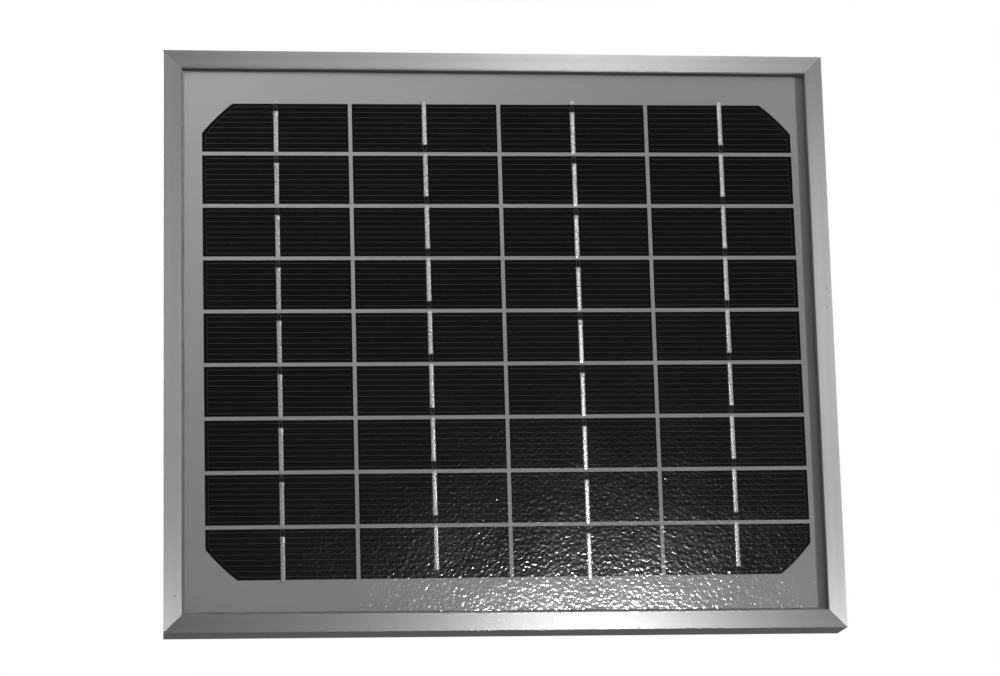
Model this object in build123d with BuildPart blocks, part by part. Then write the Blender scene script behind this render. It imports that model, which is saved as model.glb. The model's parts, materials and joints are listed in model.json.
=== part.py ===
"""Framed photovoltaic panel, 36 half-strip cells in four strings, with a junction box on its back.

The panel stands upright. +X is to the right as the front is seen, +Z is up and +Y points out of the back.
The origin is the centre of the four mounting holes, on the rear face of the frame's flange.
Heights are distances in front of that rear face, so a height h lies at y = -h.
"""

from build123d import *
import math
import os

# Frame
panel_width = 356.0
panel_height = 312.0
frame_depth = 25.0
wall = 1.4
face_width = 9.4
lip_thickness = 1.8
shelf_thickness = 1.3
chamber_depth = 6.9
flange_width = 20.0
outer_edge_radius = 0.9
inner_edge_radius = 0.4
mitre_gap = 0.1
mount_hole_radius = 3.5
mount_hole_inset = 13.0
mount_hole_spacing = 200.0
ground_hole_radius = 2.1
ground_hole_below_centre = 60.0
key_clearance = 0.1
key_leg = 30.0

# Laminate, from the front to the back
seal_front = 0.4
glass_thickness = 3.2
front_encapsulant_thickness = 0.45
cell_thickness = 0.2
rear_encapsulant_thickness = 0.75
backsheet_thickness = 0.3
seal_rear = 0.3
laminate_inset = 2.4
laminate_corner = 1.5
seal_reach = 8.9

# Cells: strips of a pseudo-square wafer, whose round corner shows at the four corners of the array
columns = 4
rows = 9
cell_width = 78.0
cell_height = 26.75
cell_gap = 2.0
wafer_radius = 99.4
array_shift_x = 1.94
array_shift_z = 0.77
array_skew = 0.316

# Ribbons
tab_width = 2.2
tab_thickness = 0.15
tab_free_end = 4.2
tab_step_margin = 0.3
stub_top = 2.5
stub_bottom = 1.2
bus_width = 4.0
bus_thickness = 0.2
link_inset = 6.0
lead_inset = 14.0
lead_place = 12.0
insulation_thickness = 0.15
insulation_top_reach = 18.0
insulation_bottom_reach = 10.0
insulation_overhang = 0.8
lead_slot_margin = 1.0
lead_slot_height = 3.0

# Junction box
box_width = 72.0
box_height = 56.0
box_centre_z = 98.0
box_corner = 4.0
least_corner = 1.0
box_wall = 3.2
box_floor = 1.6
box_adhesive = 0.8
adhesive_inset = 2.0
rim_height = 3.6
moving_gap = 0.3
lid_thickness = 2.0
lid_edge_radius = 0.8
lid_panel_inset = 6.0
lid_panel_depth = 0.3
lid_lip_depth = 1.6
lid_lip_width = 1.2
lid_lip_gap = 0.4
gasket_width = 1.4
gasket_depth = 1.0
window_width = 34.0
window_height = 8.0
hinge_height = 4.6
hinge_above_box = 3.2
hinge_bore_radius = 1.3
hinge_pin_radius = 1.24
lug_radius = 2.6
lug_foot = 5.0
lug_place = 21.5
lug_width = 5.0
arm_radius = 2.4
arm_width = 3.0
arm_gap = 0.4
arm_root = 1.0
tongue_width = 10.0
tongue_thickness = 1.2
tongue_reach = 6.0
tongue_gap = 0.9
tongue_root = 1.0
catch_depth = 0.5
catch_height = 1.2

# Cable outlets of the junction box
outlet_place = 18.0
outlet_height = 9.4
outlet_radius = 5.0
outlet_length = 9.0
outlet_bore = 3.8
outlet_bore_depth = 8.2
cable_hole_radius = 2.8
seal_outer = 3.72
seal_inner = 2.5
seal_length = 7.0
seal_proud = 1.6
seal_chamfer = 0.6
nut_flats = 13.0
nut_length = 12.0
nut_bore = 5.15
nut_exit = 3.4
nut_end_wall = 1.8
nut_stand_off = 0.8
nut_chamfer = 1.2

# Electrical parts in the box
terminal_width = 12.0
terminal_inner_edge = 8.0
terminal_bottom = 88.0
terminal_top = 118.0
terminal_thickness = 1.0
terminal_height = 12.5
post_radius = 2.6
screw_pitch = 6.0
screw_centre_z = 95.5
screw_head_radius = 2.3
screw_head_height = 1.8
screw_shank_radius = 1.2
screw_shank_length = 2.6
slot_length = 5.0
slot_width = 0.8
slot_depth = 0.7
diode_radius = 2.2
diode_length = 9.0
diode_chamfer = 0.5
diode_z = 106.0
diode_height = 9.6
diode_lead_radius = 0.5
diode_lead_reach = 10.5

# Heights of the faces, worked out from the stack
lip_rear = frame_depth - lip_thickness
glass_front = lip_rear - seal_front
glass_rear = glass_front - glass_thickness
cell_front = glass_rear - front_encapsulant_thickness
cell_rear = cell_front - cell_thickness
backsheet_front = cell_rear - rear_encapsulant_thickness
backsheet_rear = backsheet_front - backsheet_thickness
shelf_front = backsheet_rear - seal_rear
shelf_rear = shelf_front - shelf_thickness
chamber_rear = shelf_rear - chamber_depth
chamber_back = chamber_rear - shelf_thickness
insulation_front = cell_rear - tab_thickness
fold_front = insulation_front - insulation_thickness
bus_front = fold_front - tab_thickness
bus_rear = bus_front - bus_thickness
box_front = backsheet_rear - box_adhesive
floor_rear = box_front - box_floor
lid_front = rim_height - moving_gap
lid_rear = lid_front - lid_thickness
terminal_front = terminal_height + terminal_thickness

# Places worked out from the driving dimensions
pitch_x = cell_width + cell_gap
pitch_y = cell_height + cell_gap
array_height = rows * pitch_y - cell_gap
array_top = array_height / 2
column_x = [(c - (columns - 1) / 2) * pitch_x for c in range(columns)]
row_y = [((rows - 1) / 2 - r) * pitch_y for r in range(rows)]
laminate_width = panel_width - 2 * laminate_inset
laminate_height = panel_height - 2 * laminate_inset
box_top = box_centre_z + box_height / 2
box_bottom = box_centre_z - box_height / 2
hinge_z = box_top + hinge_above_box
terminal_x = terminal_inner_edge + terminal_width / 2
outlet_mouth = box_bottom - outlet_length
skew = math.radians(array_skew)
lead_z = array_top + array_shift_z - lead_inset
to_front = (0, -1, 0)
down = (0, 0, -1)

os.makedirs("parts", exist_ok=True)


def save(piece, name):
    """Labels a finished piece and writes its file."""
    piece.part.label = name
    export_step(piece.part, f"parts/{name}.step")


def level(height):
    """A plane that faces the front, at a height in front of the frame's rear face."""
    return Plane.XZ.offset(height)


def array_plane(height):
    """As level, but lying with the cell array, which is laid up a little off centre and turned."""
    origin = (array_shift_x, -height, array_shift_z)
    return Plane(origin=origin, x_dir=(math.cos(skew), 0, math.sin(skew)), z_dir=to_front)


def tab_plane(x):
    """The plane of a ribbon's side: its own x runs up the array and its own y towards the front."""
    base = array_plane(0)
    origin = base.from_local_coords(Vector(x, 0, 0))
    return Plane(origin=origin, x_dir=base.y_dir, z_dir=base.x_dir)


# Frame rails ------------------------------------------------------------------------------------


def make_rail(corner, along, inward, length, holes):
    """A mitred rail. corner is its outer rear corner, and holes are (place, radius) on the flange."""
    with BuildPart() as rail:
        with BuildSketch(Plane(origin=corner, x_dir=inward, z_dir=along)) as section:
            with BuildLine():
                Polyline(
                    (0, 0), (flange_width, 0), (flange_width, wall), (wall, wall),
                    (wall, chamber_back), (face_width, chamber_back),
                    (face_width, shelf_front), (wall, shelf_front),
                    (wall, lip_rear), (face_width, lip_rear),
                    (face_width, frame_depth), (0, frame_depth), close=True,
                )
            make_face()
            inner_corner, outer_corner = section.vertices().group_by(Axis.Y)[-1].sort_by(Axis.X)[::-1]
            fillet(inner_corner, radius=inner_edge_radius)
            fillet(outer_corner, radius=outer_edge_radius)
            chamber_width = face_width - 2 * wall
            with Locations((wall + chamber_width / 2, chamber_rear + chamber_depth / 2)):
                Rectangle(chamber_width, chamber_depth, mode=Mode.SUBTRACT)
        extrude(amount=length)
        face_plane = Plane(origin=corner, x_dir=along, z_dir=to_front)
        with BuildSketch(face_plane):
            with BuildLine():
                Polyline(
                    (mitre_gap / 2, 0), (length - mitre_gap / 2, 0),
                    (length - mitre_gap / 2 - flange_width, flange_width),
                    (mitre_gap / 2 + flange_width, flange_width), close=True,
                )
            make_face()
        extrude(amount=frame_depth, mode=Mode.INTERSECT)
        if holes:
            with BuildSketch(face_plane):
                for place, radius in holes:
                    with Locations((place, mount_hole_inset)):
                        Circle(radius)
            extrude(amount=wall, mode=Mode.SUBTRACT)
    return rail


half_width = panel_width / 2
half_height = panel_height / 2
side_holes = [
    (half_height - mount_hole_spacing / 2, mount_hole_radius),
    (half_height + mount_hole_spacing / 2, mount_hole_radius),
]
ground_hole = (half_height - ground_hole_below_centre, ground_hole_radius)

right_holes = side_holes + [ground_hole]
rail_table = {
    "rail_bottom": ((-half_width, 0, -half_height), (1, 0, 0), (0, 0, 1), panel_width, []),
    "rail_right": ((half_width, 0, -half_height), (0, 0, 1), (-1, 0, 0), panel_height, right_holes),
    "rail_top": ((half_width, 0, half_height), (-1, 0, 0), (0, 0, -1), panel_width, []),
    "rail_left": ((-half_width, 0, half_height), (0, 0, -1), (1, 0, 0), panel_height, side_holes),
}
for rail_name, rail_place in rail_table.items():
    save(make_rail(*rail_place), rail_name)

# Corner keys: an L-shaped block in the hollow chamber of each pair of rails
key_out_x = half_width - wall - key_clearance
key_out_z = half_height - wall - key_clearance
key_width = face_width - 2 * wall - 2 * key_clearance
with BuildPart() as corner_keys:
    with BuildSketch(level(chamber_rear + key_clearance)):
        with BuildLine():
            Polyline(
                (key_out_x, key_out_z), (key_out_x - key_leg, key_out_z),
                (key_out_x - key_leg, key_out_z - key_width), (key_out_x - key_width, key_out_z - key_width),
                (key_out_x - key_width, key_out_z - key_leg), (key_out_x, key_out_z - key_leg), close=True,
            )
        make_face()
        mirror(about=Plane.YZ)
        mirror(about=Plane.XZ)
    extrude(amount=chamber_depth - 2 * key_clearance)
save(corner_keys, "corner_keys")

# Laminate sheets --------------------------------------------------------------------------------


def laminate_outline():
    """The outline that the glass, the encapsulant and the backsheet share."""
    RectangleRounded(laminate_width, laminate_height, laminate_corner)


with BuildPart() as edge_seal:
    with BuildSketch(level(shelf_front)):
        Rectangle(panel_width - 2 * wall, panel_height - 2 * wall)
        Rectangle(panel_width - 2 * seal_reach, panel_height - 2 * seal_reach, mode=Mode.SUBTRACT)
    extrude(amount=lip_rear - shelf_front)
    with BuildSketch(level(backsheet_rear)):
        laminate_outline()
    extrude(amount=glass_front - backsheet_rear, mode=Mode.SUBTRACT)
save(edge_seal, "edge_seal")

with BuildPart() as glass:
    with BuildSketch(level(glass_rear)):
        laminate_outline()
    extrude(amount=glass_thickness)
save(glass, "glass")

# Cells ------------------------------------------------------------------------------------------


def make_cell(row, column):
    """One cell. A cell at a corner of the array keeps the round corner of its wafer."""
    side_x = {0: -1, columns - 1: 1}.get(column, 0)
    side_y = {0: 1, rows - 1: -1}.get(row, 0)
    corner_x = column_x[column] + side_x * cell_width / 2
    corner_y = row_y[row] + side_y * cell_height / 2
    with BuildPart() as cell:
        with BuildSketch(array_plane(cell_rear)):
            with Locations((column_x[column], row_y[row])):
                Rectangle(cell_width, cell_height)
            if side_x and side_y:
                with Locations((corner_x - side_x * cell_width, corner_y - side_y * cell_width)):
                    Circle(wafer_radius, mode=Mode.INTERSECT)
        extrude(amount=cell_thickness)
    return cell


cells = {(r, c): make_cell(r, c) for r in range(rows) for c in range(columns)}
for (cell_row, cell_column), cell_part in cells.items():
    save(cell_part, f"cell_r{cell_row + 1}_c{cell_column + 1}")

# Ribbons ----------------------------------------------------------------------------------------


def link_profile(row):
    """A ribbon from the front of a cell, through the gap, to the back of the cell below it."""
    start = row_y[row] + cell_height / 2 - tab_free_end
    edge = row_y[row] - cell_height / 2 - tab_step_margin
    under = row_y[row + 1] + cell_height / 2 + tab_step_margin
    finish = row_y[row + 1] - cell_height / 2 + tab_free_end
    front = cell_front + tab_thickness
    rear = cell_rear - tab_thickness
    return [
        (start, front), (edge, front), (under, cell_rear), (finish, cell_rear),
        (finish, rear), (under, rear), (edge, cell_front), (start, cell_front),
    ]


def first_profile(stub, fold):
    """The ribbon on the back of a string's first cell, which folds behind it to the bus."""
    edge = array_top + stub
    inner = edge - tab_thickness
    finish = row_y[0] - cell_height / 2 + tab_free_end
    return [
        (finish, cell_rear), (edge, cell_rear), (edge, bus_front), (array_top - fold, bus_front),
        (array_top - fold, fold_front), (inner, fold_front),
        (inner, insulation_front), (finish, insulation_front),
    ]


def last_profile(stub, fold):
    """The ribbon on the front of a string's last cell, which folds round its edge to the bus."""
    edge = -array_top - stub
    inner = edge + tab_thickness
    start = row_y[-1] + cell_height / 2 - tab_free_end
    front = cell_front + tab_thickness
    return [
        (start, front), (edge, front), (edge, bus_front), (fold - array_top, bus_front),
        (fold - array_top, fold_front), (inner, fold_front), (inner, cell_front), (start, cell_front),
    ]


def string_profiles(column):
    """Every ribbon of one string. Odd strings run down the panel and even ones run up it."""
    runs_down = column % 2 == 0
    top_fold = lead_inset + bus_width / 2 if column in (0, columns - 1) else link_inset + bus_width / 2
    bottom_fold = link_inset + bus_width / 2
    profiles = [link_profile(r) for r in range(rows - 1)]
    if runs_down:
        return profiles + [first_profile(stub_top, top_fold), last_profile(stub_bottom, bottom_fold)]
    profiles += [first_profile(stub_bottom, bottom_fold), last_profile(stub_top, top_fold)]
    return [[(-y, h) for y, h in profile] for profile in profiles]


with BuildPart() as tab_ribbons:
    for string in range(columns):
        with BuildSketch(tab_plane(column_x[string] - tab_width / 2)):
            for profile in string_profiles(string):
                with BuildLine():
                    Polyline(*profile, close=True)
                make_face()
        extrude(amount=tab_width)
save(tab_ribbons, "tab_ribbons")


def bus_run(x_from, x_to, y):
    """A bus ribbon's outline between two places across the array."""
    with Locations(((x_from + x_to) / 2, y)):
        Rectangle(abs(x_to - x_from), bus_width)


half_bus = bus_width / 2
with BuildPart() as bus_ribbons:
    with BuildSketch(array_plane(bus_rear)):
        bus_run(column_x[1] - half_bus, column_x[2] + half_bus, array_top - link_inset)
        bus_run(column_x[0] - half_bus, column_x[1] + half_bus, link_inset - array_top)
        bus_run(column_x[2] - half_bus, column_x[3] + half_bus, link_inset - array_top)
        bus_run(column_x[0] - half_bus, half_bus - lead_place, array_top - lead_inset)
        bus_run(lead_place - half_bus, column_x[3] + half_bus, array_top - lead_inset)
    extrude(amount=bus_thickness)
    # The two leads turn back through the backsheet to the terminals.
    with BuildSketch(array_plane(terminal_front)):
        with Locations((-lead_place, array_top - lead_inset), (lead_place, array_top - lead_inset)):
            Rectangle(bus_width, 2 * tab_thickness)
    extrude(amount=bus_front - terminal_front)
save(bus_ribbons, "bus_ribbons")

insulation_length = column_x[-1] - column_x[0] + 2 * bus_width
with BuildPart() as bus_insulation:
    with BuildSketch(array_plane(fold_front)):
        with Locations((0, array_top - (insulation_top_reach - insulation_overhang) / 2)):
            Rectangle(insulation_length, insulation_top_reach + insulation_overhang)
        with Locations((0, (insulation_bottom_reach - insulation_overhang) / 2 - array_top)):
            Rectangle(insulation_length, insulation_bottom_reach + insulation_overhang)
    extrude(amount=insulation_thickness)
save(bus_insulation, "bus_insulation")

# Encapsulant and backsheet ----------------------------------------------------------------------

with BuildPart() as front_encapsulant:
    with BuildSketch(level(cell_front)):
        laminate_outline()
    extrude(amount=front_encapsulant_thickness)
    add(tab_ribbons.part, mode=Mode.SUBTRACT)
save(front_encapsulant, "front_encapsulant")

with BuildPart() as rear_encapsulant:
    with BuildSketch(level(backsheet_front)):
        laminate_outline()
    extrude(amount=cell_front - backsheet_front)
    add([cell.part for cell in cells.values()], mode=Mode.SUBTRACT)
    add([tab_ribbons.part, bus_ribbons.part, bus_insulation.part], mode=Mode.SUBTRACT)
save(rear_encapsulant, "rear_encapsulant")

with BuildPart() as backsheet:
    with BuildSketch(level(backsheet_rear)):
        laminate_outline()
        with Locations((array_shift_x, lead_z)):
            with GridLocations(2 * lead_place, 0, 2, 1):
                Rectangle(bus_width + 2 * lead_slot_margin, lead_slot_height, mode=Mode.SUBTRACT)
    extrude(amount=backsheet_thickness)
save(backsheet, "backsheet")

# Junction box -----------------------------------------------------------------------------------


def box_outline(inset):
    """The junction box's outline, drawn in from its outer edge."""
    corner = max(box_corner - inset, least_corner)
    with Locations((0, box_centre_z)):
        RectangleRounded(box_width - 2 * inset, box_height - 2 * inset, corner)


def window_outline(mode=Mode.ADD):
    """The opening that the two leads come through."""
    with Locations((array_shift_x, lead_z)):
        Rectangle(window_width, window_height, mode=mode)


outlet_plane = Plane(origin=(0, -outlet_height, box_bottom), x_dir=(1, 0, 0), z_dir=down)
mouth_plane = Plane(origin=(0, -outlet_height, outlet_mouth), x_dir=(1, 0, 0), z_dir=down)
outlets = GridLocations(2 * outlet_place, 0, 2, 1)
gasket_inset = (box_wall - gasket_width) / 2
groove_inset = gasket_inset + gasket_width
groove_width = box_width - 2 * groove_inset
groove_height = box_height - 2 * groove_inset
groove_corner = box_corner - groove_inset
screw_grid = Locations(*[
    (side * terminal_x, screw_centre_z + row * screw_pitch / 2) for side in (-1, 1) for row in (-1, 1)
])
hinge_line = Plane(origin=(0, -hinge_height, hinge_z), x_dir=(0, -1, 0), z_dir=(1, 0, 0))

with BuildPart() as jbox_adhesive:
    with BuildSketch(level(box_front)):
        box_outline(adhesive_inset)
        window_outline(Mode.SUBTRACT)
    extrude(amount=box_adhesive)
save(jbox_adhesive, "jbox_adhesive")

with BuildPart() as jbox_base:
    with BuildSketch(level(rim_height)):
        box_outline(0)
    extrude(amount=box_front - rim_height)
    with BuildSketch(level(rim_height)):
        box_outline(box_wall)
    extrude(amount=floor_rear - rim_height, mode=Mode.SUBTRACT)
    with BuildSketch(level(floor_rear)):
        window_outline()
    extrude(amount=box_floor, mode=Mode.SUBTRACT)
    # Gasket groove in the rim
    with BuildSketch(level(rim_height)):
        box_outline(gasket_inset)
        with Locations((0, box_centre_z)):
            RectangleRounded(groove_width, groove_height, groove_corner, mode=Mode.SUBTRACT)
    extrude(amount=gasket_depth, mode=Mode.SUBTRACT)
    # Posts under the terminals, bored for the screws
    with BuildSketch(level(terminal_front)):
        with screw_grid:
            Circle(post_radius)
    extrude(amount=floor_rear - terminal_front)
    with BuildSketch(level(terminal_front)):
        with screw_grid:
            Circle(screw_shank_radius)
    extrude(amount=screw_shank_length - terminal_thickness, mode=Mode.SUBTRACT)
    # Hinge lugs on the top wall
    for lug_side in (-1, 1):
        with BuildSketch(hinge_line.offset(lug_side * lug_place - lug_width / 2)):
            Circle(lug_radius)
            with BuildLine():
                Polyline(
                    (rim_height - hinge_height, 0), (rim_height - hinge_height, hinge_above_box),
                    (lug_foot, hinge_above_box), (lug_radius, 0), close=True,
                )
            make_face()
        extrude(amount=lug_width)
    with BuildSketch(hinge_line.offset(-lug_place - lug_width)):
        Circle(hinge_bore_radius)
    extrude(amount=2 * (lug_place + lug_width), mode=Mode.SUBTRACT)
    # Threaded cable outlets on the bottom wall
    with BuildSketch(outlet_plane):
        with outlets:
            Circle(outlet_radius)
    extrude(amount=outlet_length)
    with BuildSketch(mouth_plane):
        with outlets:
            Circle(outlet_bore)
    extrude(amount=-outlet_bore_depth, mode=Mode.SUBTRACT)
    with BuildSketch(mouth_plane):
        with outlets:
            Circle(cable_hole_radius)
    extrude(amount=-(outlet_length + box_wall), mode=Mode.SUBTRACT)
    # Catch for the lid's tongue
    with BuildSketch(outlet_plane):
        with Locations((0, tongue_reach - outlet_height)):
            Rectangle(tongue_width, catch_height)
    extrude(amount=catch_depth)
save(jbox_base, "jbox_base")

with BuildPart() as lid_gasket:
    with BuildSketch(level(rim_height)):
        box_outline(gasket_inset)
        with Locations((0, box_centre_z)):
            RectangleRounded(groove_width, groove_height, groove_corner, mode=Mode.SUBTRACT)
    extrude(amount=gasket_depth)
save(lid_gasket, "lid_gasket")

arm_x = lug_place + lug_width / 2 + arm_gap + arm_width / 2
arm_top = hinge_z + arm_radius
with BuildPart() as jbox_lid:
    with BuildSketch(level(lid_rear)):
        box_outline(0)
    extrude(amount=lid_thickness)
    fillet(jbox_lid.faces().sort_by(Axis.Y)[-1].edges(), radius=lid_edge_radius)
    # Shallow panel sunk in the lid's outer face
    with BuildSketch(level(lid_rear)):
        box_outline(lid_panel_inset)
    extrude(amount=lid_panel_depth, mode=Mode.SUBTRACT)
    # Hinge arms, flat with the lid, beside the two lugs
    with BuildSketch(level(lid_rear)):
        with Locations((0, (box_top + arm_top) / 2 - arm_root)):
            with GridLocations(2 * arm_x, 0, 2, 1):
                Rectangle(arm_width, arm_top - box_top + 2 * arm_root)
    extrude(amount=lid_thickness)
    # Lip that drops inside the box's wall
    lip_inset = box_wall + lid_lip_gap
    with BuildSketch(level(lid_front)):
        box_outline(lip_inset)
        with Locations((0, box_centre_z)):
            lip_cut = 2 * (lip_inset + lid_lip_width)
            Rectangle(box_width - lip_cut, box_height - lip_cut, mode=Mode.SUBTRACT)
    extrude(amount=lid_lip_depth)
    # Hinge bosses and the pins moulded on them
    for arm_side in (-1, 1):
        with BuildSketch(hinge_line.offset(arm_side * arm_x - arm_width / 2)):
            Circle(arm_radius)
            with Locations(((lid_front - hinge_height) / 2, 0)):
                Rectangle(hinge_height - lid_front, 2 * arm_radius)
        extrude(amount=arm_width)
        pin_from = arm_side * arm_x
        pin_to = arm_side * (lug_place - lug_width / 2 + arm_gap)
        with BuildSketch(hinge_line.offset(pin_from)):
            Circle(hinge_pin_radius)
        extrude(amount=pin_to - pin_from)
    # Tongue that snaps over the bottom wall
    with BuildSketch(Plane(origin=(0, 0, box_bottom - tongue_gap), x_dir=(1, 0, 0), z_dir=down)):
        with Locations((0, (lid_rear + tongue_reach + catch_height) / 2)):
            Rectangle(tongue_width, tongue_reach + catch_height - lid_rear)
    extrude(amount=tongue_thickness)
    with BuildSketch(level(lid_rear)):
        with Locations((0, box_bottom - (tongue_gap + tongue_thickness - tongue_root) / 2)):
            Rectangle(tongue_width, tongue_gap + tongue_thickness + tongue_root)
    extrude(amount=lid_thickness)
save(jbox_lid, "jbox_lid")

# Cable seals and gland nuts ---------------------------------------------------------------------

seal_end = outlet_mouth - seal_proud
nut_top = box_bottom - nut_stand_off
nut_end = nut_top - nut_length
for side_name, side in (("left", -1), ("right", 1)):
    with BuildPart() as cable_seal:
        with BuildSketch(Plane(origin=(side * outlet_place, -outlet_height, seal_end))):
            Circle(seal_outer)
            Circle(seal_inner, mode=Mode.SUBTRACT)
        extrude(amount=seal_length)
        end_circles = cable_seal.edges().filter_by(GeomType.CIRCLE).group_by(Axis.Z)[0]
        chamfer(end_circles.sort_by(SortBy.RADIUS)[-1], seal_chamfer)
    save(cable_seal, f"cable_seal_{side_name}")

    with BuildPart() as gland_nut:
        with BuildSketch(Plane(origin=(side * outlet_place, -outlet_height, nut_end))):
            RegularPolygon(nut_flats / 2, 6, major_radius=False)
        extrude(amount=nut_length)
        chamfer(gland_nut.faces().sort_by(Axis.Z)[0].edges(), nut_chamfer)
        with BuildSketch(Plane(origin=(side * outlet_place, -outlet_height, nut_end + nut_end_wall))):
            Circle(nut_bore)
        extrude(amount=nut_length - nut_end_wall, mode=Mode.SUBTRACT)
        with BuildSketch(Plane(origin=(side * outlet_place, -outlet_height, nut_end))):
            Circle(nut_exit)
        extrude(amount=nut_end_wall, mode=Mode.SUBTRACT)
    save(gland_nut, f"gland_nut_{side_name}")

# Electrical parts -------------------------------------------------------------------------------

with BuildPart() as terminals:
    with BuildSketch(level(terminal_height)):
        with Locations((0, (terminal_bottom + terminal_top) / 2)):
            with GridLocations(2 * terminal_x, 0, 2, 1):
                Rectangle(terminal_width, terminal_top - terminal_bottom)
        with screw_grid:
            Circle(screw_shank_radius, mode=Mode.SUBTRACT)
    extrude(amount=terminal_thickness)
save(terminals, "terminals")

with BuildPart() as terminal_screws:
    with BuildSketch(level(terminal_height)):
        with screw_grid:
            Circle(screw_head_radius)
    extrude(amount=-screw_head_height)
    with BuildSketch(level(terminal_height)):
        with screw_grid:
            Circle(screw_shank_radius)
    extrude(amount=screw_shank_length)
    with BuildSketch(level(terminal_height - screw_head_height)):
        with screw_grid:
            Rectangle(slot_length, slot_width)
    extrude(amount=slot_depth, mode=Mode.SUBTRACT)
save(terminal_screws, "terminal_screws")

diode_axis = Plane(origin=(0, -diode_height, diode_z), x_dir=(0, 1, 0), z_dir=(1, 0, 0))
with BuildPart() as bypass_diode:
    with BuildSketch(diode_axis):
        Circle(diode_radius)
    extrude(amount=diode_length / 2, both=True)
    chamfer(bypass_diode.edges().filter_by(GeomType.CIRCLE), diode_chamfer)
    with BuildSketch(diode_axis):
        Circle(diode_lead_radius)
    extrude(amount=diode_lead_reach, both=True)
    with BuildSketch(level(diode_height)):
        with Locations((0, diode_z)):
            with GridLocations(2 * (diode_lead_reach - diode_lead_radius), 0, 2, 1):
                Circle(diode_lead_radius)
    extrude(amount=terminal_height - diode_height)
save(bypass_diode, "bypass_diode")
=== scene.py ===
import json
import math

import bmesh
import bpy
from mathutils import Matrix, Vector, noise


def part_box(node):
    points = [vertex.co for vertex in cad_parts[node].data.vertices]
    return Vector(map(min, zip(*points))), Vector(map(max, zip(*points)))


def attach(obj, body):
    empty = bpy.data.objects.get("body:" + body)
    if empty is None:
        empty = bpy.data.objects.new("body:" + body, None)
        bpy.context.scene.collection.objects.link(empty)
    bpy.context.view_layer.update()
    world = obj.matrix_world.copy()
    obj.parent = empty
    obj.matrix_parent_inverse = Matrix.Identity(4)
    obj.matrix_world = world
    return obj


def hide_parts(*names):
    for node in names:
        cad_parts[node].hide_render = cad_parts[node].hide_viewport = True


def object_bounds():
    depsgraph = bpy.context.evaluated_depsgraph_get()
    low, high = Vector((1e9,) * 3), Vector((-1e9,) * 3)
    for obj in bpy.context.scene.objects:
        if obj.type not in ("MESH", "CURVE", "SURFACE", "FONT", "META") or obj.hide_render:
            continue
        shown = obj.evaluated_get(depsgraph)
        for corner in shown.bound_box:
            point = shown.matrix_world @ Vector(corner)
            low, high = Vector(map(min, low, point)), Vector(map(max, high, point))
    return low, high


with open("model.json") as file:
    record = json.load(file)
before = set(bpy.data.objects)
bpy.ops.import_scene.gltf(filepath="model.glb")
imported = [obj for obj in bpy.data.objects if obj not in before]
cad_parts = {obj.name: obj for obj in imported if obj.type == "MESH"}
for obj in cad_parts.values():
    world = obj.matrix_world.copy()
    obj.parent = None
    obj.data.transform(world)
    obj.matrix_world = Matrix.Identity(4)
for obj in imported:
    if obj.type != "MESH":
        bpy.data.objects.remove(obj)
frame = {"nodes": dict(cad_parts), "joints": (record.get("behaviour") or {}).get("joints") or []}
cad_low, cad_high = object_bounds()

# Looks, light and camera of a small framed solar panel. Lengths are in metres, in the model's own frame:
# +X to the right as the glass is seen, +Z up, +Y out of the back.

MM = 0.001
nodes = frame["nodes"]

# Places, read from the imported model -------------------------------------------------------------


def centre(node):
    """The middle of a CAD node's box."""
    low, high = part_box(node)
    return (low + high) / 2


def front_of(node):
    """The y of a CAD node's front, which faces -Y."""
    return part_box(node)[0].y


def rear_of(node):
    """The y of a CAD node's rear."""
    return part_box(node)[1].y


CELL_GAP = 2.0 * MM
ROWS = 9
COLUMNS = 4
column_step = (centre("cell_r5_c4") - centre("cell_r5_c1")) / (COLUMNS - 1)
row_step = (centre("cell_r2_c2") - centre("cell_r8_c2")) / (8 - 2)
array_centre = (centre("cell_r5_c1") + centre("cell_r5_c4")) / 2
across = column_step.normalized()
upward = row_step.normalized()
cell_width = column_step.length - CELL_GAP
cell_height = row_step.length - CELL_GAP
cell_front = front_of("cell_r5_c2")
cell_rear = rear_of("cell_r5_c2")
column_u = [(c - (COLUMNS - 1) / 2) * column_step.length for c in range(COLUMNS)]
row_v = [((ROWS - 1) / 2 - r) * row_step.length for r in range(ROWS)]
array_top = row_v[0] + cell_height / 2

FACE_WIDTH = 9.4 * MM
window_x = cad_high.x - FACE_WIDTH
window_z = cad_high.z - FACE_WIDTH
glass_front = front_of("glass")
laminate_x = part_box("glass")[1].x
laminate_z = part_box("glass")[1].z


def in_array(u, v, y):
    """A point u across and v up the cell array from its centre, at depth y."""
    place = array_centre + across * u + upward * v
    return Vector((place.x, y, place.z))


# Mesh helpers -----------------------------------------------------------------------------------


def mesh_object(name, bm):
    """Puts a finished bmesh in the scene as an object, and frees it."""
    mesh = bpy.data.meshes.new(name)
    bm.to_mesh(mesh)
    bm.free()
    made = bpy.data.objects.new(name, mesh)
    bpy.context.scene.collection.objects.link(made)
    return made


def new_piece(name, mesh_builder, smooth=True):
    """Makes a piece of the panel from a function that fills a bmesh, shades it smooth or flat, and parents it
    to the panel's body.
    """
    bm = bmesh.new()
    mesh_builder(bm)
    bmesh.ops.recalc_face_normals(bm, faces=bm.faces)
    piece = mesh_object(name, bm)
    for polygon in piece.data.polygons:
        polygon.use_smooth = smooth
    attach(piece, "panel")
    return piece


def loft(bm, sections, closed=False):
    """Skins a row of rings with as many points each. An open row gets an end cap at each end."""
    rings = [[bm.verts.new(p) for p in section] for section in sections]
    count = len(rings[0])
    pairs = list(zip(rings, rings[1:]))
    if closed:
        pairs.append((rings[-1], rings[0]))
    for one, two in pairs:
        for i in range(count):
            j = (i + 1) % count
            bm.faces.new((one[i], one[j], two[j], two[i]))
    if not closed:
        bm.faces.new(rings[0])
        bm.faces.new(rings[-1])


SEED_STEP = 31.7


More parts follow.
